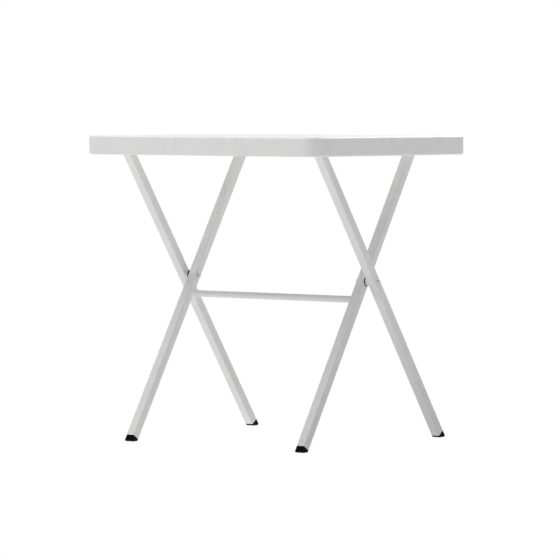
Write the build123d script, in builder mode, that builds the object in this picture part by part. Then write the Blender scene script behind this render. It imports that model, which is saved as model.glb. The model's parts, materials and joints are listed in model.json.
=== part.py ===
from build123d import *
import math
import os

os.makedirs("parts", exist_ok=True)

# Folding table: a square pressed-sheet top on two crossed frames of square tube.
# Millimetres. +Z is up and z = 0 is the floor. X runs along the pivots and the crossbar,
# and the crossed legs spread along Y. The origin is on the floor, under the middle of the top.

# ---- driving dimensions -------------------------------------------------------------------
HEIGHT = 732.0              # floor to the top's upper face
TOP_SIDE = 665.0            # the square top, outside its apron
TOP_CORNER = 35.0           # radius of the apron's upright corners
APRON_DEPTH = 45.0
SHEET = 1.5                 # thickness of the pressed sheet
TOP_EDGE = 5.5              # radius where the sheet bends down from the top to the apron
HEM_WIDTH = 9.0             # inward return along the apron's lower edge
HEM_RADIUS = 4.2

TUBE = 22.0                 # square leg tube, outside
TUBE_WALL = 1.5
TUBE_CORNER = 2.0
OUTER_X = 278.0             # centre lines of the outer frame's legs
INNER_X = 248.0             # centre lines of the inner frame's legs
PIVOT_Z = 389.5             # height of the bolts that the frames turn on
OUTER_ANGLE = 36.7          # outer legs from the vertical, feet towards +Y
INNER_ANGLE = 33.3          # inner legs from the vertical, feet towards -Y
HINGE_Z = 705.0             # hinge rod across the tops of the outer legs
CATCH_Z = 700.0             # catch rod across the tops of the inner legs
LEG_PAST_ROD = 10.0         # how far each leg runs on past its rod
ROD_RADIUS = 6.0

CROSSBAR_Z = 346.5          # round bar between the inner legs, just below the pivots
CROSSBAR_RADIUS = 8.0
CROSSBAR_WALL = 1.5

BOLT_RADIUS = 3.0           # M6
BOLT_RUNNING = 0.06         # radial clearance of the bolt in the inner leg
BOLT_HEAD_RADIUS = 5.25
BOLT_HEAD_HEIGHT = 3.3
BOLT_HEAD_DOME = 2.4
BOLT_PAST_NUT = 0.5
SOCKET_ACROSS = 4.0         # across the flats of the bolt's hexagon socket
SOCKET_DEPTH = 2.0
NUT_ACROSS = 10.0           # across the flats
NUT_HEIGHT = 5.0
WASHER_RADIUS = 6.0
WASHER_THICKNESS = 1.0
BOSS_RADIUS = 12.0          # steel washer welded to the outer leg, in the gap between the legs
BOSS_THICKNESS = 5.4
SPACER_RADIUS = 12.8        # plastic disc between that washer and the inner leg
SPACER_CHAMFER = 0.6
SPACER_GAP = 0.2            # daylight between the disc and the turning leg

SOLE_GAP = 4.0              # tube's lowest corner above the floor
SOLE_CHAMFER = 1.6
TOE_HEIGHT = 4.0            # the acute toe of each foot is cut back up to this height
TOE_INSET = 7.5             # and by this much along the sole
PLUG_STEM = 24.0            # how far a plug reaches into its tube
PLUG_CLEARANCE = 0.1
CAP_LIP = 2.0               # flange of the plug in a leg's upper end

BRACKET_X = 150.0           # hinge and catch brackets, either side of the middle
BRACKET_BASE = 2.5
HINGE_BASE_X = 34.0
HINGE_BASE_Y = 36.0
HINGE_EAR = 3.0
HINGE_EAR_X = 10.0          # ear centres, either side of the bracket's middle
HINGE_EYE_RADIUS = 10.0
HINGE_NECK = 16.0           # width of an ear where it meets its base
HINGE_RUNNING = 0.08
HOOK_THICKNESS = 5.0
HOOK_CLEARANCE = 0.35
HOOK_WALL = 5.0
HOOK_LIP = 9.0              # how far the hook's lower lip runs on towards -Y
HOOK_BASE_X = 34.0
HOOK_BASE_Y = 44.0

RIB_X = 85.0                # stiffening ribs under the sheet
RIB_WIDTH = 44.0
RIB_CROWN = 26.0
RIB_DEPTH = 8.0
RIB_SHEET = 1.2
RIB_LENGTH = 600.0

# ---- worked out from them -----------------------------------------------------------------
SHEET_UNDER = HEIGHT - SHEET
APRON_BOTTOM = HEIGHT - APRON_DEPTH
OUTER_SLOPE = math.tan(math.radians(OUTER_ANGLE))
INNER_SLOPE = math.tan(math.radians(INNER_ANGLE))
OUTER_UP = Vector(0, -math.sin(math.radians(OUTER_ANGLE)), math.cos(math.radians(OUTER_ANGLE)))
INNER_UP = Vector(0, math.sin(math.radians(INNER_ANGLE)), math.cos(math.radians(INNER_ANGLE)))
HINGE_Y = -(HINGE_Z - PIVOT_Z) * OUTER_SLOPE
CATCH_Y = (CATCH_Z - PIVOT_Z) * INNER_SLOPE
CROSSBAR_Y = (CROSSBAR_Z - PIVOT_Z) * INNER_SLOPE
OUTER_SPAN = 2 * (OUTER_X - TUBE / 2)
INNER_SPAN = 2 * (INNER_X - TUBE / 2)
BORE = TUBE - 2 * TUBE_WALL
BORE_CORNER = TUBE_CORNER - TUBE_WALL
LEG_GAP = OUTER_X - INNER_X - TUBE
SIDES = {"left": -1, "right": 1}


def tube_end(x, up, angle):
    """Centre of a leg's lower end, cut square to the leg."""
    z = SOLE_GAP + TUBE / 2 * math.sin(math.radians(angle))
    return Vector(x, 0, PIVOT_Z) + up * ((z - PIVOT_Z) / up.Z)


def leg_length(end, up, rod_z):
    """Length of a leg from its lower end to just past its rod."""
    return (rod_z - end.Z) / up.Z + LEG_PAST_ROD


def across(origin, up):
    """Plane square to a leg, with its own x along the row's X."""
    return Plane(origin=origin, x_dir=(1, 0, 0), z_dir=(up.X, up.Y, up.Z))


def save(piece, label):
    piece.part.label = label
    export_step(piece.part, "parts/" + label + ".step")


def make_leg(label, x, up, angle, rod_z, bolt_hole):
    """A square tube, hollow along its length, with a cross hole for the pivot bolt."""
    end = tube_end(x, up, angle)
    length = leg_length(end, up, rod_z)
    with BuildPart() as leg:
        with BuildSketch(across(end, up)):
            RectangleRounded(TUBE, TUBE, TUBE_CORNER)
            RectangleRounded(BORE, BORE, BORE_CORNER, mode=Mode.SUBTRACT)
        extrude(amount=length)
        with BuildSketch(Plane.YZ.offset(x - TUBE)):
            with Locations((0, PIVOT_Z)):
                Circle(bolt_hole)
        extrude(amount=2 * TUBE, mode=Mode.SUBTRACT)
    save(leg, label)


def make_foot(label, x, up, angle):
    """A plastic plug: a stem inside the tube and a wedge that stands flat on the floor."""
    end = tube_end(x, up, angle)
    lean = -math.copysign(1, up.Y)
    slope = math.tan(math.radians(angle))
    toe = lean * (PIVOT_Z * slope + TUBE / 2 / math.cos(math.radians(angle)))
    with BuildPart() as foot:
        with BuildSketch(across(end, up)):
            RectangleRounded(TUBE, TUBE, TUBE_CORNER)
        extrude(amount=-2 * TUBE)
        with BuildSketch(Plane.XY):
            with Locations((end.X, end.Y)):
                Rectangle(8 * TUBE, 8 * TUBE)
        extrude(amount=-4 * TUBE, mode=Mode.SUBTRACT)
        with BuildSketch(Plane.YZ.offset(x - TUBE)):
            with BuildLine():
                Polyline(
                    (toe - lean * TOE_INSET, 0),
                    (toe - lean * TOE_HEIGHT * slope, TOE_HEIGHT),
                    (toe + lean * TUBE, TOE_HEIGHT),
                    (toe + lean * TUBE, 0),
                    close=True,
                )
            make_face()
        extrude(amount=2 * TUBE, mode=Mode.SUBTRACT)
        sole = foot.faces().sort_by(Axis.Z)[0]
        chamfer(sole.edges(), SOLE_CHAMFER)
        with BuildSketch(across(end, up)):
            RectangleRounded(BORE - 2 * PLUG_CLEARANCE, BORE - 2 * PLUG_CLEARANCE, BORE_CORNER)
        extrude(amount=PLUG_STEM)
    save(foot, label)


def make_end_cap(label, x, up, angle, rod_z):
    """A plastic plug in the leg's upper end, with a thin flange over the tube's wall."""
    end = tube_end(x, up, angle)
    top = end + up * leg_length(end, up, rod_z)
    with BuildPart() as cap:
        with BuildSketch(across(top, up)):
            RectangleRounded(TUBE, TUBE, TUBE_CORNER)
        extrude(amount=CAP_LIP)
        chamfer(cap.faces().sort_by(Axis.Z)[-1].edges(), CAP_LIP / 3)
        with BuildSketch(across(top, up)):
            RectangleRounded(BORE - 2 * PLUG_CLEARANCE, BORE - 2 * PLUG_CLEARANCE, BORE_CORNER)
        extrude(amount=-PLUG_STEM / 2)
    save(cap, label)


def make_rod(label, span, y, z):
    """A solid round rod, welded between the inner faces of two legs."""
    with BuildPart() as rod:
        with BuildSketch(Plane.YZ.offset(-span / 2)):
            with Locations((y, z)):
                Circle(ROD_RADIUS)
        extrude(amount=span)
    save(rod, label)


def make_hinge_bracket(label, x):
    """A base plate under the sheet and two ears with eyes, which turn on the hinge rod."""
    base_under = SHEET_UNDER - BRACKET_BASE
    with BuildPart() as bracket:
        with BuildSketch(Plane.XY.offset(base_under)):
            with Locations((x, HINGE_Y)):
                RectangleRounded(HINGE_BASE_X, HINGE_BASE_Y, 4)
        extrude(amount=BRACKET_BASE)
        for ear in (-1, 1):
            with BuildSketch(Plane.YZ.offset(x + ear * HINGE_EAR_X - HINGE_EAR / 2)):
                with Locations((HINGE_Y, HINGE_Z)):
                    Circle(HINGE_EYE_RADIUS)
                with Locations((HINGE_Y, (HINGE_Z + base_under) / 2)):
                    Rectangle(HINGE_NECK, base_under - HINGE_Z)
                with Locations((HINGE_Y, HINGE_Z)):
                    Circle(ROD_RADIUS + HINGE_RUNNING, mode=Mode.SUBTRACT)
            extrude(amount=HINGE_EAR)
    save(bracket, label)


def make_catch_bracket(label, x):
    """A base plate under the sheet and a hook, open towards -Y, that holds the catch rod."""
    base_under = SHEET_UNDER - BRACKET_BASE
    throat = ROD_RADIUS + HOOK_CLEARANCE
    back = throat + HOOK_WALL
    with BuildPart() as bracket:
        with BuildSketch(Plane.XY.offset(base_under)):
            with Locations((x, CATCH_Y + HOOK_WALL)):
                RectangleRounded(HOOK_BASE_X, HOOK_BASE_Y, 4)
        extrude(amount=BRACKET_BASE)
        with BuildSketch(Plane.YZ.offset(x - HOOK_THICKNESS / 2)):
            with Locations((CATCH_Y, CATCH_Z)):
                Circle(back)
            with Locations((CATCH_Y + back / 2, (CATCH_Z + base_under) / 2)):
                Rectangle(back, base_under - CATCH_Z)
            with Locations((CATCH_Y - HOOK_LIP / 2, CATCH_Z - (throat + back) / 2)):
                SlotOverall(HOOK_LIP + back, HOOK_WALL)
            with Locations((CATCH_Y - back, CATCH_Z)):
                Rectangle(2 * back, 2 * throat, mode=Mode.SUBTRACT)
            with Locations((CATCH_Y - back / 2, CATCH_Z + back)):
                Rectangle(back, 2 * back, mode=Mode.SUBTRACT)
            with Locations((CATCH_Y, CATCH_Z)):
                Circle(throat, mode=Mode.SUBTRACT)
        extrude(amount=HOOK_THICKNESS)
    save(bracket, label)


def make_rib(label, x):
    """A hat-section rib, spot-welded under the sheet, open towards it."""
    under = SHEET_UNDER - RIB_DEPTH
    half_flange = RIB_WIDTH / 2
    half_crown = RIB_CROWN / 2
    with BuildPart() as rib:
        with BuildSketch(Plane.XZ.offset(-RIB_LENGTH / 2)):
            with BuildLine():
                Polyline(
                    (x - half_flange, SHEET_UNDER - RIB_SHEET),
                    (x - half_crown - RIB_SHEET, SHEET_UNDER - RIB_SHEET),
                    (x - half_crown - RIB_SHEET, under),
                    (x + half_crown + RIB_SHEET, under),
                    (x + half_crown + RIB_SHEET, SHEET_UNDER - RIB_SHEET),
                    (x + half_flange, SHEET_UNDER - RIB_SHEET),
                    (x + half_flange, SHEET_UNDER),
                    (x + half_crown, SHEET_UNDER),
                    (x + half_crown, under + RIB_SHEET),
                    (x - half_crown, under + RIB_SHEET),
                    (x - half_crown, SHEET_UNDER),
                    (x - half_flange, SHEET_UNDER),
                    close=True,
                )
            make_face()
        extrude(amount=RIB_LENGTH)
    save(rib, label)


def make_pivot(side, name):
    """Bolt, nut, washer, welded boss and spacer disc on one side of the table."""
    outer_face = side * (OUTER_X + TUBE / 2)
    inner_face = side * (INNER_X - TUBE / 2)
    gap_start = side * (OUTER_X - TUBE / 2)
    head_plane = Plane(origin=(outer_face, 0, PIVOT_Z), x_dir=(0, 1, 0), z_dir=(side, 0, 0))
    nut_plane = Plane(origin=(inner_face, 0, PIVOT_Z), x_dir=(0, 1, 0), z_dir=(-side, 0, 0))
    gap_plane = Plane(origin=(gap_start, 0, PIVOT_Z), x_dir=(0, 1, 0), z_dir=(-side, 0, 0))
    reach = OUTER_X - INNER_X + TUBE

    with BuildPart() as bolt:
        with BuildSketch(head_plane):
            Circle(BOLT_HEAD_RADIUS)
        extrude(amount=BOLT_HEAD_HEIGHT)
        crown = bolt.faces().filter_by(GeomType.PLANE).sort_by(Axis(head_plane.origin, head_plane.z_dir))[-1]
        fillet(crown.edges(), BOLT_HEAD_DOME)
        with BuildSketch(head_plane):
            Circle(BOLT_RADIUS)
        extrude(amount=-(reach + SPACER_GAP + WASHER_THICKNESS + NUT_HEIGHT + BOLT_PAST_NUT))
        with BuildSketch(head_plane.offset(BOLT_HEAD_HEIGHT)):
            RegularPolygon(SOCKET_ACROSS / 2, 6, major_radius=False)
        extrude(amount=-SOCKET_DEPTH, mode=Mode.SUBTRACT)
    save(bolt, "pivot_bolt_" + name)

    with BuildPart() as washer:
        with BuildSketch(nut_plane.offset(SPACER_GAP)):
            Circle(WASHER_RADIUS)
            Circle(BOLT_RADIUS + BOLT_RUNNING, mode=Mode.SUBTRACT)
        extrude(amount=WASHER_THICKNESS)
    save(washer, "pivot_washer_" + name)

    with BuildPart() as nut:
        with BuildSketch(nut_plane.offset(SPACER_GAP + WASHER_THICKNESS)):
            RegularPolygon(NUT_ACROSS / 2, 6, major_radius=False)
            Circle(BOLT_RADIUS, mode=Mode.SUBTRACT)
        extrude(amount=NUT_HEIGHT)
    save(nut, "pivot_nut_" + name)

    with BuildPart() as boss:
        with BuildSketch(gap_plane):
            Circle(BOSS_RADIUS)
            Circle(BOLT_RADIUS + BOLT_RUNNING, mode=Mode.SUBTRACT)
        extrude(amount=BOSS_THICKNESS)
    save(boss, "pivot_boss_" + name)

    with BuildPart() as spacer:
        with BuildSketch(gap_plane.offset(BOSS_THICKNESS)):
            Circle(SPACER_RADIUS)
            Circle(BOLT_RADIUS + BOLT_RUNNING, mode=Mode.SUBTRACT)
        extrude(amount=LEG_GAP - BOSS_THICKNESS - SPACER_GAP)
        chamfer(spacer.edges().filter_by(GeomType.CIRCLE).group_by(SortBy.RADIUS)[-1], SPACER_CHAMFER)
    save(spacer, "pivot_spacer_" + name)


# ---- the top: one pressed sheet, with its apron and an inward hem --------------------------
with BuildPart() as tabletop:
    with BuildSketch(Plane.XY.offset(APRON_BOTTOM)):
        RectangleRounded(TOP_SIDE, TOP_SIDE, TOP_CORNER)
    extrude(amount=APRON_DEPTH)
    fillet(tabletop.faces().sort_by(Axis.Z)[-1].edges(), TOP_EDGE)
    fillet(tabletop.faces().sort_by(Axis.Z)[0].edges(), HEM_RADIUS)
    with BuildSketch(Plane.XY.offset(APRON_BOTTOM + SHEET)):
        RectangleRounded(TOP_SIDE - 2 * SHEET, TOP_SIDE - 2 * SHEET, TOP_CORNER - SHEET)
    pocket = extrude(amount=APRON_DEPTH - 2 * SHEET, mode=Mode.PRIVATE)
    pocket = pocket.fillet(TOP_EDGE - SHEET, pocket.faces().sort_by(Axis.Z)[-1].edges())
    pocket = pocket.fillet(HEM_RADIUS - SHEET, pocket.faces().sort_by(Axis.Z)[0].edges())
    add(pocket, mode=Mode.SUBTRACT)
    with BuildSketch(Plane.XY.offset(APRON_BOTTOM)):
        RectangleRounded(TOP_SIDE - 2 * HEM_WIDTH, TOP_SIDE - 2 * HEM_WIDTH, TOP_CORNER - HEM_WIDTH)
    extrude(amount=APRON_DEPTH / 2, mode=Mode.SUBTRACT)
save(tabletop, "tabletop")

# ---- what is welded under the top ----------------------------------------------------------
for name, side in SIDES.items():
    make_rib("rib_" + name, side * RIB_X)
    make_hinge_bracket("hinge_bracket_" + name, side * BRACKET_X)
    make_catch_bracket("catch_bracket_" + name, side * BRACKET_X)

# ---- the two frames ------------------------------------------------------------------------
for name, side in SIDES.items():
    outer = side * OUTER_X
    inner = side * INNER_X
    make_leg("outer_leg_" + name, outer, OUTER_UP, OUTER_ANGLE, HINGE_Z, BOLT_RADIUS)
    make_leg("inner_leg_" + name, inner, INNER_UP, INNER_ANGLE, CATCH_Z, BOLT_RADIUS + BOLT_RUNNING)
    make_foot("outer_foot_" + name, outer, OUTER_UP, OUTER_ANGLE)
    make_foot("inner_foot_" + name, inner, INNER_UP, INNER_ANGLE)
    make_end_cap("outer_cap_" + name, outer, OUTER_UP, OUTER_ANGLE, HINGE_Z)
    make_end_cap("inner_cap_" + name, inner, INNER_UP, INNER_ANGLE, CATCH_Z)
    make_pivot(side, name)

make_rod("hinge_rod", OUTER_SPAN, HINGE_Y, HINGE_Z)
make_rod("catch_rod", INNER_SPAN, CATCH_Y, CATCH_Z)

# ---- the crossbar: round tube between the inner legs ---------------------------------------
with BuildPart() as crossbar:
    with BuildSketch(Plane.YZ.offset(-INNER_SPAN / 2)):
        with Locations((CROSSBAR_Y, CROSSBAR_Z)):
            Circle(CROSSBAR_RADIUS)
            Circle(CROSSBAR_RADIUS - CROSSBAR_WALL, mode=Mode.SUBTRACT)
    extrude(amount=INNER_SPAN)
save(crossbar, "crossbar")
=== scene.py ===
import json
import math

import bmesh
import bpy
from mathutils import Matrix, Vector, noise


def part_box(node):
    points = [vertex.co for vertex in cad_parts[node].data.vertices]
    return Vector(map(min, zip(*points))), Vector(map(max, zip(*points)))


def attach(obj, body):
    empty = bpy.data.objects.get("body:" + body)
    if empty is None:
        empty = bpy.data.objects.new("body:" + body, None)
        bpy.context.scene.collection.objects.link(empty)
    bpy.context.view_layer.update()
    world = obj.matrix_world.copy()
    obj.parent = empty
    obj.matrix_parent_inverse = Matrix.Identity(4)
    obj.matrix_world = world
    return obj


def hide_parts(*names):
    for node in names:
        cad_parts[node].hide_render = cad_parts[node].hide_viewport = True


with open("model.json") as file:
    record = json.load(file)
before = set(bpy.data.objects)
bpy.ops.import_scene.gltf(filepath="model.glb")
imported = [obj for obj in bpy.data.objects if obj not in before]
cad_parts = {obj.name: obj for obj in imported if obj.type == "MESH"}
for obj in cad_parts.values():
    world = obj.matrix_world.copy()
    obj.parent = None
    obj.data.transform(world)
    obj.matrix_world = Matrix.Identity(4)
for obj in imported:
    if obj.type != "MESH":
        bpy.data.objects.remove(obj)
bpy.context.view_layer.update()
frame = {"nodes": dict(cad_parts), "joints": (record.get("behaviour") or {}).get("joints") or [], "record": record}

NODES = frame["nodes"]
RECORD = frame["record"]
BODY_OF = {node: body for body, names in RECORD["behaviour"]["bodies"].items() for node in names}
SIDES = {"left": -1, "right": 1}
MM = 0.001


# ---- camera ---------------------------------------------------------------------------------
CAMERA_AT = Vector((5.2488, -7.4777, 0.8117))
CAMERA_YAW = math.radians(35.027)       # turned from +Y towards -X
CAMERA_PITCH = math.radians(2.677)      # looking down
CAMERA_ROLL = math.radians(0.174)
CAMERA_LENS = 244.16                    # millimetres on a 36 mm sensor


def make_camera():
    camera = bpy.data.cameras.new("camera")
    camera.sensor_width = 36.0
    camera.lens = CAMERA_LENS
    camera.clip_end = 100.0
    obj = bpy.data.objects.new("camera", camera)
    bpy.context.scene.collection.objects.link(obj)
    forward = Vector((-math.sin(CAMERA_YAW) * math.cos(CAMERA_PITCH),
                      math.cos(CAMERA_YAW) * math.cos(CAMERA_PITCH),
                      -math.sin(CAMERA_PITCH)))
    level_right = Vector((math.cos(CAMERA_YAW), math.sin(CAMERA_YAW), 0.0))
    level_up = level_right.cross(forward)
    right = level_right * math.cos(CAMERA_ROLL) + level_up * math.sin(CAMERA_ROLL)
    up = level_up * math.cos(CAMERA_ROLL) - level_right * math.sin(CAMERA_ROLL)
    turn = Matrix((right, up, -forward)).transposed().to_4x4()
    obj.matrix_world = Matrix.Translation(CAMERA_AT) @ turn
    bpy.context.scene.camera = obj


make_camera()


# ---- sizes read from the frame ----------------------------------------------------------------
def low_high(node):
    low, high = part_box(node)
    return Vector(low), Vector(high)


TOP_LOW, TOP_HIGH = low_high("tabletop")
TOP_HALF = (TOP_HIGH.x - TOP_LOW.x) / 2
TOP_Z = TOP_HIGH.z
APRON_Z = TOP_LOW.z
LEG_LOW, LEG_HIGH = low_high("outer_leg_right")
TUBE = LEG_HIGH.x - LEG_LOW.x
PIVOT = Vector(next(j["pos_m"] for j in frame["joints"] if j["name"] == "leg_pivot"))


# ---- materials --------------------------------------------------------------------------------
class Graph:
    """A short way to write a material's nodes."""

    def __init__(self, name):
        self.material = bpy.data.materials.new(name)
        self.material.use_nodes = True
        self.tree = self.material.node_tree
        self.shader = self.tree.nodes["Principled BSDF"]
        self.place = self.tree.nodes.new("ShaderNodeTexCoord").outputs["Object"]

    def node(self, kind, inputs=None, **settings):
        made = self.tree.nodes.new(kind)
        for key, value in settings.items():
            setattr(made, key, value)
        for key, value in (inputs or {}).items():
            self.feed(value, made.inputs[key])
        return made

    def feed(self, value, socket):
        if isinstance(value, bpy.types.NodeSocket):
            self.tree.links.new(value, socket)
        else:
            socket.default_value = value

    def noise(self, scale, detail=2.0, roughness=0.5, stretch=None):
        vector = self.place
        if stretch:
            vector = self.node("ShaderNodeMapping", {"Vector": vector, "Scale": stretch}).outputs[0]
        inputs = {"Vector": vector, "Scale": scale, "Detail": detail, "Roughness": roughness}
        return self.node("ShaderNodeTexNoise", inputs).outputs["Fac"]

    def spread(self, value, from_low, from_high, to_low, to_high):
        inputs = {"Value": value, "From Min": from_low, "From Max": from_high,
                  "To Min": to_low, "To Max": to_high}
        return self.node("ShaderNodeMapRange", inputs).outputs[0]

    def math(self, operation, first, second):
        return self.node("ShaderNodeMath", {0: first, 1: second}, operation=operation).outputs[0]

    def mix(self, factor, first, second):
        made = self.node("ShaderNodeMix", data_type="RGBA")
        self.feed(factor, made.inputs[0])
        self.feed(first, made.inputs[6])
        self.feed(second, made.inputs[7])
        return made.outputs[2]

    def bump(self, height, distance, strength=1.0, normal=None):
        inputs = {"Height": height, "Distance": distance, "Strength": strength}
        if normal is not None:
            inputs["Normal"] = normal
        return self.node("ShaderNodeBump", inputs).outputs[0]


def powder_coat():
    """White powder coat: a fine orange peel, and a slow drift in its tint and gloss."""
    g = Graph("white_powder_coat")
    peel = g.noise(420.0, 2.0, 0.45)
    slow = g.noise(26.0, 3.0, 0.6)
    speck = g.noise(1400.0, 1.0, 0.5)
    clean, dull = (0.800, 0.800, 0.795, 1.0), (0.765, 0.766, 0.762, 1.0)
    g.feed(g.mix(g.spread(slow, 0.35, 0.7, 0.0, 1.0), clean, dull), g.shader.inputs["Base Color"])
    gloss = g.spread(slow, 0.3, 0.7, 0.40, 0.50)
    g.feed(g.math("ADD", gloss, g.spread(speck, 0.3, 0.7, -0.03, 0.03)), g.shader.inputs["Roughness"])
    coarse = g.bump(peel, 0.00016)
    g.feed(g.bump(speck, 0.00003, normal=coarse), g.shader.inputs["Normal"])
    g.shader.inputs["Specular IOR Level"].default_value = 0.42
    return g.material


def black_plastic():
    """Moulded black plastic with a fine spark texture and slightly greyer scuffs."""
    g = Graph("black_plastic")
    grain = g.noise(1600.0, 2.0, 0.6)
    scuff = g.noise(90.0, 4.0, 0.65)
    black, scuffed = (0.0008, 0.0008, 0.0009, 1.0), (0.0040, 0.0040, 0.0038, 1.0)
    g.feed(g.mix(g.spread(scuff, 0.52, 0.75, 0.0, 1.0), black, scuffed), g.shader.inputs["Base Color"])
    g.feed(g.spread(scuff, 0.3, 0.7, 0.42, 0.62), g.shader.inputs["Roughness"])
    g.feed(g.bump(grain, 0.00006), g.shader.inputs["Normal"])
    g.shader.inputs["Specular IOR Level"].default_value = 0.06
    return g.material


def zinc_steel():
    """Zinc plate with faint turning marks and a mottled passivation."""
    g = Graph("zinc_steel")
    mottle = g.noise(500.0, 4.0, 0.6)
    streak = g.noise(900.0, 2.0, 0.5, stretch=(6.0, 1.0, 1.0))
    bright, dull = (0.78, 0.785, 0.79, 1.0), (0.66, 0.665, 0.67, 1.0)
    g.feed(g.mix(g.spread(mottle, 0.35, 0.7, 0.0, 1.0), bright, dull), g.shader.inputs["Base Color"])
    g.feed(g.spread(streak, 0.3, 0.7, 0.55, 0.66), g.shader.inputs["Roughness"])
    g.feed(g.bump(streak, 0.00004), g.shader.inputs["Normal"])
    g.shader.inputs["Metallic"].default_value = 1.0
    return g.material


FINISH = {
    "white_powder_coat": powder_coat(),
    "black_plastic": black_plastic(),
    "zinc_steel": zinc_steel(),
}
SLOT_OF = {s["node"]: s["material_slot"] for s in RECORD["subparts"]}
for node_name, node in NODES.items():
    node.data.materials.clear()
    node.data.materials.append(FINISH[SLOT_OF[node_name]])


# ---- mesh helpers -----------------------------------------------------------------------------
def add_piece(name, bm, body, slot, smooth_angle=40.0):
    """Turns a bmesh into a piece that rides a body and takes its finish from a slot."""
    bmesh.ops.recalc_face_normals(bm, faces=bm.faces[:])
    mesh = bpy.data.meshes.new(name)
    bm.to_mesh(mesh)
    bm.free()
    mesh.shade_smooth()
    mesh.set_sharp_from_angle(angle=math.radians(smooth_angle))
    mesh.materials.append(FINISH[slot])
    obj = bpy.data.objects.new(name, mesh)
    bpy.context.scene.collection.objects.link(obj)
    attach(obj, body)
    return obj


def stand_for(node, bm, smooth_angle=40.0):
    """A detailed piece in place of a CAD node, on the same body and with the same finish."""
    piece = add_piece(node + "_piece", bm, BODY_OF[node], SLOT_OF[node], smooth_angle)
    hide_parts(node)
    return piece


def loft(bm, rings, cap_start=False, cap_end=False):
    """Skins a list of closed rings of equal length, each a list of points."""
    rows = [[bm.verts.new(p) for p in ring] for ring in rings]
    for lower, upper in zip(rows, rows[1:]):
        for i in range(len(lower)):
            j = (i + 1) % len(lower)
            bm.faces.new((lower[i], lower[j], upper[j], upper[i]))
    if cap_start:
        bm.faces.new(list(reversed(rows[0])))
    if cap_end:
        bm.faces.new(rows[-1])
    return rows


def rounded_square(half, radius, arc_steps, straight=()):
    """Points (u, v) round a square with rounded corners, corner by corner.

    straight lists places from 0 to 1 along each side, between its two corners."""
    points = []
    reach = half - radius
    for quarter in range(4):
        turn = Matrix.Rotation(quarter * math.pi / 2, 2)
        for step in range(arc_steps + 1):
            angle = math.pi / 2 * step / arc_steps
            corner = Vector((math.cos(angle), math.sin(angle))) * radius
            points.append(turn @ (Vector((reach, reach)) + corner))
        for share in straight:
            points.append(turn @ Vector((reach * (1 - 2 * share), half)))
    return points


def arc(centre, radius, first, last, steps):
    """Points (a, b) of an arc between two angles in degrees."""
    angles = [math.radians(first + (last - first) * i / steps) for i in range(steps + 1)]
    return [(centre[0] + radius * math.cos(t), centre[1] + radius * math.sin(t)) for t in angles]


def round_about(line):
    """The direction of a line, and a function that gives the direction away from it at an angle."""
    along = Vector(line).normalized()
    side = along.orthogonal().normalized()
    third = along.cross(side)
    return along, lambda angle: side * math.cos(angle) + third * math.sin(angle)


def lathe(bm, at, along, profile, segments=56, shape=None):
    """Turns a profile of (radius, height) about a line. shape can change the radius at each angle."""
    along, outward = round_about(along)
    rings = []
    for radius, height in profile:
        ring = []
        for i in range(segments):
            angle = 2 * math.pi * i / segments
            r = shape(radius, angle) if shape else radius
            ring.append(Vector(at) + along * height + outward(angle) * r)
        rings.append(ring)
    loft(bm, rings, cap_start=True, cap_end=True)


def hexagon(across, angle):
    """Distance from the middle of a hexagon to its outline."""
    sector = math.pi / 3
    return across / 2 / math.cos(angle % sector - sector / 2)


# ---- the top ----------------------------------------------------------------------------------
CORNER = 35 * MM
SHEET = 1.5 * MM
TOP_EDGE = 5.5 * MM
HEM = 4.2 * MM
HEM_WIDTH = 9 * MM
ARC_STEPS = 16          # round an upright corner
SIDE_STEPS = 48         # along a side
BEND_STEPS = 7          # across the plate's margin, and again round its edge
WALL_STEPS = 12         # down the apron
ROLL_STEPS = 9          # round the bottom of the apron
HEM_STEPS = 3           # in along the hem's flat
CREASES = [     # face, place along it, depth, half width
    ("front", -62.8 * MM, 1.25 * MM, 1.10 * MM),
    ("right", 106.0 * MM, 0.50 * MM, 2.4 * MM),
]
CREASE_SPREAD = (0.6, 1.2, 1.9, 2.8)    # extra mesh lines beside a crease, in its half widths
DENTS = [       # scale and place in the noise, depth
    (7.0, Vector((3.1, 1.7, 0.4)), 0.34 * MM),
    (19.0, Vector((0.3, 5.2, 2.4)), 0.14 * MM),
]


def crease(point):
    """Depth of the faint upright creases in the apron at a point, in metres."""
    depth = 0.0
    for face, place, deep, half_width in CREASES:
        outward, along = (-point.y, point.x) if face == "front" else (point.x, point.y)
        if outward > TOP_HALF - CORNER / 4:
            depth += deep * math.exp(-((along - place) / half_width) ** 2)
    return depth


def dent(point):
    """Small unevenness of the pressed sheet, in metres."""
    return sum(depth * noise.noise(point * scale + place) for scale, place, depth in DENTS)


def side_shares():
    """Places along a side, from 0 to 1 between its corners: even, and closer beside the creases."""
    reach = TOP_HALF - CORNER
    marks = {round(i / SIDE_STEPS, 6) for i in range(SIDE_STEPS + 1)}
    for _, place, _, half_width in CREASES:
        near = {place + k * half_width * sign for k in (0.0,) + CREASE_SPREAD for sign in (-1, 1)}
        for spot in near | {-x for x in near}:
            marks.add(round((reach - spot) / (2 * reach), 6))
    marks = sorted(marks)
    closest = 0.0004
    return [m for i, m in enumerate(marks) if i == 0 or m - marks[i - 1] > closest]


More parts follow.
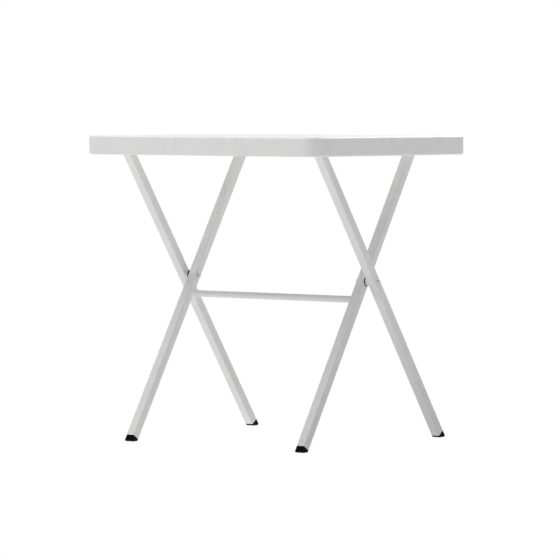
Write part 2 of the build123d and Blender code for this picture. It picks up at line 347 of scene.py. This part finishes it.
def sheet_skin(inset):
    """Profile (distance in from the outline, height) of one side of the sheet, from top to hem."""
    margin, lip = CORNER - TOP_EDGE, HEM_WIDTH - HEM
    wall_top, wall_bottom = TOP_Z - TOP_EDGE, APRON_Z + HEM
    rise = (wall_bottom - wall_top) / WALL_STEPS
    top = [(CORNER - margin * i / BEND_STEPS, TOP_Z - inset) for i in range(BEND_STEPS)]
    bend = arc((TOP_EDGE, wall_top), TOP_EDGE - inset, 90, 180, BEND_STEPS)
    wall = [(inset, wall_top + rise * i) for i in range(1, WALL_STEPS)]
    roll = arc((HEM, wall_bottom), HEM - inset, 180, 270, ROLL_STEPS)
    flat = [(HEM + lip * i / HEM_STEPS, APRON_Z + inset) for i in range(1, HEM_STEPS + 1)]
    return top + bend + wall + roll + flat


def make_tabletop():
    """The pressed sheet: plate, apron and rolled hem in one skin of even thickness."""
    places = side_shares()
    bm = bmesh.new()

    def ring(inset, height):
        """One closed line round the sheet. Dents push it outward at the outline, and up farther in."""
        points = []
        level = min(1.0, inset / CORNER * 2)
        wall = 0.0
        if height < TOP_Z - TOP_EDGE:
            wall = min(1.0, max(0.0, (height - APRON_Z - HEM) / HEM))
        for u, v in rounded_square(TOP_HALF - inset, max(CORNER - inset, 0.0), ARC_STEPS, places[1:-1]):
            p = Vector((u, v, height))
            outward = Vector((u, v, 0)).normalized()
            p += outward * ((1 - level) * dent(p) - wall * crease(p))
            p.z += level * dent(Vector((u, v, height)))
            points.append(p)
        return points

    outer = [ring(d, z) for d, z in sheet_skin(0.0)]
    inner = [ring(d, z) for d, z in sheet_skin(SHEET)]
    loft(bm, outer + inner[::-1])
    marks = [(TOP_HALF - CORNER) * (1 - 2 * share) for share in places]
    for height in (TOP_Z, TOP_Z - SHEET):
        grid = []
        for u in marks:
            column = []
            for v in marks:
                p = Vector((u, v, height))
                p.z += dent(p)
                column.append(bm.verts.new(p))
            grid.append(column)
        for a, b in zip(grid, grid[1:]):
            for j in range(len(marks) - 1):
                bm.faces.new((a[j], b[j], b[j + 1], a[j + 1]))
    bmesh.ops.remove_doubles(bm, verts=bm.verts[:], dist=0.02 * MM)
    stand_for("tabletop", bm, 50.0)


# ---- tubes and feet ---------------------------------------------------------------------------
TUBE_CORNER = 2.2 * MM
TUBE_WALL = 1.5 * MM
TOE_HEIGHT = 4.0 * MM
TOE_INSET = 7.5 * MM
FLAT_STEPS = [i / 10 for i in range(1, 10)]     # extra points along a foot's flat sides


class LegLine:
    """The centre line of a leg, from the mount under its foot through the pivot."""

    def __init__(self, frame_name, side):
        sole = next(m for m in RECORD["mounts"] if m["name"] == frame_name + "_sole_" + side)
        self.sole = Vector(sole["pos_m"])
        self.up = (Vector((self.sole.x, PIVOT.y, PIVOT.z)) - self.sole).normalized()
        self.across = Vector((1, 0, 0))
        self.fore = self.up.cross(self.across)
        low, high = low_high(frame_name + "_leg_" + side)
        overhang = TUBE / 2 * abs(self.up.y)
        self.bottom = self.at_height(low.z + overhang)
        self.top = self.at_height(high.z - overhang)

    def at_height(self, z):
        return self.sole + self.up * (z / self.up.z)

    def ring(self, centre, points):
        return [centre + self.across * u + self.fore * v for u, v in points]


def make_leg(frame_name, side):
    """A square tube with rounded corners and slightly dressed ends."""
    line = LegLine(frame_name, side)
    length = (line.top - line.bottom).length
    lip = 0.35 * MM
    outside = rounded_square(TUBE / 2, TUBE_CORNER, 6)
    dressed = rounded_square(TUBE / 2 - lip, TUBE_CORNER - lip, 6)
    inside = rounded_square(TUBE / 2 - TUBE_WALL, TUBE_CORNER - TUBE_WALL, 6)
    rings = [line.ring(line.bottom, dressed), line.ring(line.bottom + line.up * lip, outside)]
    steps = 36
    for i in range(1, steps):
        rings.append(line.ring(line.bottom + line.up * (length * i / steps), outside))
    rings += [line.ring(line.top - line.up * lip, outside), line.ring(line.top, dressed)]
    rings += [line.ring(line.top, inside), line.ring(line.bottom, inside)]
    bm = bmesh.new()
    rows = loft(bm, rings)
    for i in range(len(outside)):
        j = (i + 1) % len(outside)
        bm.faces.new((rows[-1][i], rows[-1][j], rows[0][j], rows[0][i]))
    stand_for(frame_name + "_leg_" + side, bm)


def make_foot(frame_name, side):
    """A moulded plug: flush with the tube, its acute toe cut back, its flat sole with a rounded edge."""
    line = LegLine(frame_name, side)
    gap = 0.15 * MM
    ease = 0.4 * MM
    sole_edge = 1.8 * MM
    start = line.bottom - line.up * gap
    lean = -math.copysign(1, line.up.y)
    slope = abs(line.up.y) / line.up.z
    toe = abs(line.sole.y) + TUBE / 2 / line.up.z

    def trimmed(point, back=0.0):
        """The point, held behind the plane that cuts the toe."""
        if point.z >= TOE_HEIGHT:
            return point
        limit = toe - TOE_INSET + point.z / TOE_HEIGHT * (TOE_INSET - TOE_HEIGHT * slope) - back
        return Vector((point.x, lean * min(lean * point.y, limit), point.z))

    def outline(inset):
        return rounded_square(TUBE / 2 - inset, TUBE_CORNER, 6, FLAT_STEPS)

    rings = [line.ring(start, outline(ease))]
    shoulder = line.ring(start - line.up * ease, outline(0.0))
    ankle = [p - line.up * ((p.z - sole_edge) / line.up.z) for p in shoulder]
    for step in range(13):
        rings.append([trimmed(a.lerp(b, step / 12)) for a, b in zip(shoulder, ankle)])
    for step in range(1, 6):
        angle = math.pi / 2 * step / 5
        inset = sole_edge * (1 - math.cos(angle))
        height = sole_edge * (1 - math.sin(angle))
        ring = line.ring(start, outline(inset))
        rings.append([trimmed(p - line.up * ((p.z - height) / line.up.z), inset) for p in ring])
    bm = bmesh.new()
    loft(bm, rings, cap_start=True, cap_end=True)
    bmesh.ops.remove_doubles(bm, verts=bm.verts[:], dist=0.01 * MM)
    stand_for(frame_name + "_foot_" + side, bm, 50.0)


def make_cap(frame_name, side):
    """The plug in a leg's upper end, with a rounded flange."""
    line = LegLine(frame_name, side)
    flange = 2.0 * MM
    edge = 0.4 * MM
    neck = rounded_square(TUBE / 2 - 0.3 * MM, TUBE_CORNER, 6)
    rings = [line.ring(line.top + line.up * 0.1 * MM, neck)]
    for step in range(6):
        angle = math.pi / 2 * step / 5
        inset = flange * 0.8 * (1 - math.cos(angle))
        centre = line.top + line.up * (edge + (flange - edge) * math.sin(angle))
        rings.append(line.ring(centre, rounded_square(TUBE / 2 - inset, TUBE_CORNER, 6)))
    bm = bmesh.new()
    loft(bm, rings, cap_start=True, cap_end=True)
    stand_for(frame_name + "_cap_" + side, bm)


# ---- round bars and their welds ---------------------------------------------------------------
def make_bar(node):
    """A round bar or tube between two legs."""
    low, high = low_high(node)
    radius = (high.z - low.z) / 2
    centre = (low + high) / 2
    steps = 24
    profile = [(radius, (high.x - low.x) * i / steps) for i in range(steps + 1)]
    bm = bmesh.new()
    lathe(bm, (low.x, centre.y, centre.z), (1, 0, 0), profile)
    stand_for(node, bm)
    return low, high, centre, radius


def weld_ring(name, at, along, radius, body, bead=2.2 * MM, ripples=26):
    """A fillet weld round a bar where it meets a flat face: a rippled, slightly uneven ring."""
    along, outward = round_about(along)
    around = 156
    section = [(0.0, 0.0), (0.98, -0.05), (0.86, 0.34), (0.58, 0.62), (0.30, 0.84), (-0.04, 1.0)]
    bm = bmesh.new()
    rings = []
    for i in range(around):
        angle = 2 * math.pi * i / around
        out = outward(angle)
        place = Vector(at) + out * radius
        size = bead * (1 + 0.13 * noise.noise(place * 260) + 0.05 * math.sin(angle * ripples))
        rings.append([place + out * (a * size) + along * (b * size) for a, b in section])
    rows = loft(bm, rings)
    for k in range(len(section)):
        n = (k + 1) % len(section)
        bm.faces.new((rows[-1][k], rows[-1][n], rows[0][n], rows[0][k]))
    add_piece(name, bm, body, "white_powder_coat", 60.0)


def make_bars():
    for node in ("crossbar", "hinge_rod", "catch_rod"):
        low, high, centre, radius = make_bar(node)
        for side, x in (("left", low.x), ("right", high.x)):
            inward = (-SIDES[side], 0, 0)
            at = (x, centre.y, centre.z)
            weld_ring(node + "_weld_" + side, at, inward, radius, BODY_OF[node])


# ---- pivot hardware ---------------------------------------------------------------------------
def make_bolt(side):
    """A domed M6 head with a hexagon socket on the outer leg, and its shank."""
    node = "pivot_bolt_" + side
    low, high = low_high(node)
    sign = SIDES[side]
    outward = Vector((sign, 0, 0))
    head = (high.z - low.z) / 2
    face = LEG_HIGH.x * sign
    height = abs((high.x if sign > 0 else low.x) - face)
    length = abs((low.x if sign > 0 else high.x) - face)
    shank = 3.0 * MM
    rim = 0.8 * MM
    edge = 0.2 * MM
    dome = [(head * math.cos(t), rim + (height - rim) * math.sin(t))
            for t in [math.pi / 2 * i / 10 for i in range(7)]]
    socket = 4.0 * MM
    lip = 1.15
    profile = [(shank * 0.8, -length), (shank, -length + 0.6 * MM), (shank, 0.0)]
    profile += [(head - edge, 0.0), (head, edge)] + dome
    profile += [(socket / 2 * lip, height), (-socket, height - 0.15 * MM), (-socket, height - 1.9 * MM)]
    profile += [(0.2 * MM, height - 2.4 * MM)]

    def shape(radius, angle):
        """A negative radius in the profile stands for a hexagon of that size across its flats."""
        return hexagon(-radius, angle) if radius < 0 else radius

    bm = bmesh.new()
    lathe(bm, (face, PIVOT.y, PIVOT.z), outward, profile, 72, shape)
    stand_for(node, bm, 35.0)


def make_nut(side):
    """A hexagon nut with chamfered corners, on its washer, inside the inner leg."""
    node = "pivot_nut_" + side
    low, high = low_high(node)
    inward = Vector((-SIDES[side], 0, 0))
    across = min(high.z - low.z, high.y - low.y)
    start = high.x if SIDES[side] > 0 else low.x
    thick = high.x - low.x
    bore = 3.02 * MM
    collar = across / 2 * 0.86
    profile = [(bore, 0.3 * MM), (collar, 0.0), (across, 0.3 * MM), (across * 1.02, thick * 0.62)]
    profile += [(collar, thick * 0.70), (collar * 0.98, thick - 0.5 * MM), (collar * 0.86, thick)]
    profile += [(bore, thick)]

    def shape(radius, angle):
        """Radii beyond the collar stand for the hexagon, with its corners cut to a circle."""
        return min(hexagon(across, angle), across / 2 * 1.12) if radius > collar * 1.01 else radius

    bm = bmesh.new()
    lathe(bm, (start, PIVOT.y, PIVOT.z), inward, profile, 72, shape)
    stand_for(node, bm, 35.0)


def make_disc(node, inward, ease):
    """A washer, boss or spacer with eased edges."""
    low, high = low_high(node)
    radius = (high.z - low.z) / 2
    start = high.x if inward < 0 else low.x
    thick = high.x - low.x
    bend = 0.3 * ease
    profile = [(radius - ease, 0.0), (radius - bend, bend), (radius, ease)]
    profile += [(radius, thick - ease), (radius - bend, thick - bend), (radius - ease, thick)]
    bm = bmesh.new()
    lathe(bm, (start, PIVOT.y, PIVOT.z), (inward, 0, 0), profile, 72)
    stand_for(node, bm)


# ---- plates under the top ---------------------------------------------------------------------
def refine(node, ease):
    """The CAD node's own shape with its sharp edges eased, as a pressed or cut plate has them."""
    bm = bmesh.new()
    bm.from_mesh(NODES[node].data)
    bmesh.ops.remove_doubles(bm, verts=bm.verts[:], dist=0.002 * MM)
    flat = math.radians(1.0)
    bmesh.ops.dissolve_limit(bm, angle_limit=flat, verts=bm.verts[:], edges=bm.edges[:])
    piece = stand_for(node, bm, 35.0)
    bevel = piece.modifiers.new("eased edges", "BEVEL")
    bevel.width = ease
    bevel.segments = 2
    bevel.limit_method = "ANGLE"
    bevel.angle_limit = math.radians(40)


def weld_line(name, start, end, up, out, body, bead=2.4 * MM):
    """A short fillet weld along a plate's edge."""
    start, end, up, out = Vector(start), Vector(end), Vector(up), Vector(out)
    steps = 40
    section = [(0.0, 0.0), (1.0, 0.0), (0.82, 0.38), (0.55, 0.62), (0.30, 0.84), (0.0, 1.0)]
    bm = bmesh.new()
    rings = []
    for i in range(steps + 1):
        share = i / steps
        place = start.lerp(end, share)
        ends = min(1.0, 6 * min(share, 1 - share) + 0.35)
        ripple = 0.07 * math.sin(share * 2 * math.pi * 9)
        size = bead * ends * (1 + 0.15 * noise.noise(place * 300) + ripple)
        rings.append([place + out * (a * size) + up * (b * size) for a, b in section])
    loft(bm, rings, cap_start=True, cap_end=True)
    add_piece(name, bm, body, "white_powder_coat", 60.0)


PLATE_EASE = {"hinge_bracket_": 0.4 * MM, "catch_bracket_": 0.5 * MM, "rib_": 0.3 * MM}
WELD_INSET = 5 * MM         # from a bracket's sides to the ends of its weld


def make_plates():
    """Brackets with a weld along their front and back, and spot-welded ribs."""
    under = TOP_Z - SHEET
    for side in SIDES:
        for kind, ease in PLATE_EASE.items():
            refine(kind + side, ease)
        for kind in ("hinge_bracket_", "catch_bracket_"):
            low, high = low_high(kind + side)
            left, right = low.x + WELD_INSET, high.x - WELD_INSET
            for end, y, out in (("front", low.y, -1), ("back", high.y, 1)):
                name = kind + side + "_weld_" + end
                weld_line(name, (left, y, under), (right, y, under), (0, 0, -1), (0, out, 0), "top")
        make_spot_welds("rib_" + side)


def make_spot_welds(node):
    """The shallow round prints of spot welds along a rib's two flanges."""
    low, high = low_high(node)
    print_radius = 3.0 * MM
    flange = 4.4 * MM           # from the rib's side to the middle of a flange
    flange_thickness = 1.2 * MM
    pitch = 75 * MM
    ends = 60 * MM              # of the rib's length kept clear of welds
    under = TOP_Z - SHEET - flange_thickness
    count = int((high.y - low.y - ends) / pitch) + 1
    bm = bmesh.new()
    for x in (low.x + flange, high.x - flange):
        for i in range(count):
            y = (low.y + high.y) / 2 + (i - (count - 1) / 2) * pitch
            profile = [(print_radius, -0.25 * MM), (print_radius * 0.95, 0.08 * MM)]
            profile += [(print_radius * 0.78, 0.12 * MM), (print_radius * 0.66, 0.02 * MM)]
            profile += [(0.3 * MM, 0.0)]
            lathe(bm, (x, y, under), (0, 0, 1), profile, 28)
    add_piece(node + "_spot_welds", bm, "top", "white_powder_coat", 60.0)


make_tabletop()
for frame_name in ("outer", "inner"):
    for side in SIDES:
        make_leg(frame_name, side)
        make_foot(frame_name, side)
        make_cap(frame_name, side)
make_bars()
for side in SIDES:
    make_bolt(side)
    make_nut(side)
    make_disc("pivot_washer_" + side, -SIDES[side], 0.25 * MM)
    make_disc("pivot_spacer_" + side, -SIDES[side], 0.7 * MM)
    make_disc("pivot_boss_" + side, -SIDES[side], 0.6 * MM)
make_plates()


# ---- stage ------------------------------------------------------------------------------------
FLOOR_HALF = 30.0                       # metres
ROOM_LIGHT = 0.285
FLOOR_GLOW = 0.97                       # the floor's light on the object, farther out
FLOOR_GLOW_IN_PAINTED_SHADE = 0.54                   # and where it is dimmest, a painted shade on the lower legs there
PAINTED_SHADE_CENTRE = (0.3, 0.03, 0.0)           # the dimmest place and middle of the painted shade, under the right half of the table, set for tone rather than worked out from the table's shadow
PAINTED_SHADE_REACH = (0.1, 0.65)                 # metres from that place, from dimmest to full glow
WHITE_BACKDROP = 1.0                    # what the camera sees of the floor and the room
LIGHTS = [      # name, where, aimed at, size, watts
    ("overhead", (-0.5, -0.5, 3.4), (0.0, 0.0, 0.4), (4.0, 3.0), 95.0),
    ("left_low", (-2.2, -2.6, 0.25), (0.0, 0.0, 0.3), (1.2, 0.5), 8.5),
    ("back_high", (0.0, 3.6, 2.6), (0.0, 0.0, 0.6), (3.0, 1.2), 80.0),
]


def make_floor():
    """A floor that shows as plain white and lights the object from below, with a painted shade: its glow is weaker
    round a place under the right half of the table.
    """
    g = Graph("studio_floor")
    g.feed((0.0, 0.0, 0.0, 1.0), g.shader.inputs["Base Color"])
    g.feed(0.9, g.shader.inputs["Roughness"])
    g.shader.inputs["Specular IOR Level"].default_value = 0.0
    g.shader.inputs["Emission Color"].default_value = (1.0, 1.0, 1.0, 1.0)
    seen = g.node("ShaderNodeLightPath").outputs["Is Camera Ray"]
    # painted shade: the glow falls from full to dimmest towards a place under the table, which darkens the lower
    # legs near it
    away = g.node("ShaderNodeVectorMath", {0: g.place, 1: PAINTED_SHADE_CENTRE}, operation="DISTANCE")
    glow = g.spread(away.outputs["Value"], *PAINTED_SHADE_REACH, FLOOR_GLOW_IN_PAINTED_SHADE, FLOOR_GLOW)
    g.feed(g.spread(seen, 0.0, 1.0, glow, WHITE_BACKDROP), g.shader.inputs["Emission Strength"])
    bm = bmesh.new()
    bmesh.ops.create_grid(bm, x_segments=1, y_segments=1, size=FLOOR_HALF)
    mesh = bpy.data.meshes.new("floor")
    bm.to_mesh(mesh)
    bm.free()
    mesh.materials.append(g.material)
    obj = bpy.data.objects.new("floor", mesh)
    bpy.context.scene.collection.objects.link(obj)


def area_light(name, at, towards, size, power):
    light = bpy.data.lights.new(name, "AREA")
    light.shape = "RECTANGLE"
    light.size, light.size_y = size
    light.energy = power
    obj = bpy.data.objects.new(name, light)
    bpy.context.scene.collection.objects.link(obj)
    obj.location = at
    aim = Vector(towards) - Vector(at)
    obj.rotation_euler = aim.to_track_quat("-Z", "Y").to_euler()


def make_light():
    """A dim room with three soft area lights. Its backdrop shows as plain white."""
    world = bpy.data.worlds.new("studio")
    bpy.context.scene.world = world
    world.use_nodes = True
    tree = world.node_tree
    backdrop = tree.nodes["Background"]
    backdrop.inputs["Color"].default_value = (1.0, 1.0, 1.0, 1.0)
    backdrop.inputs["Strength"].default_value = WHITE_BACKDROP
    room = tree.nodes.new("ShaderNodeBackground")
    room.inputs["Color"].default_value = (1.0, 1.0, 1.0, 1.0)
    room.inputs["Strength"].default_value = ROOM_LIGHT
    rays = tree.nodes.new("ShaderNodeLightPath")
    choose = tree.nodes.new("ShaderNodeMixShader")
    tree.links.new(rays.outputs["Is Camera Ray"], choose.inputs[0])
    tree.links.new(room.outputs[0], choose.inputs[1])
    tree.links.new(backdrop.outputs[0], choose.inputs[2])
    tree.links.new(choose.outputs[0], tree.nodes["World Output"].inputs["Surface"])
    for light in LIGHTS:
        area_light(*light)
    scene = bpy.context.scene
    scene.view_settings.view_transform = "Standard"
    scene.view_settings.look = "None"


make_floor()
make_light()
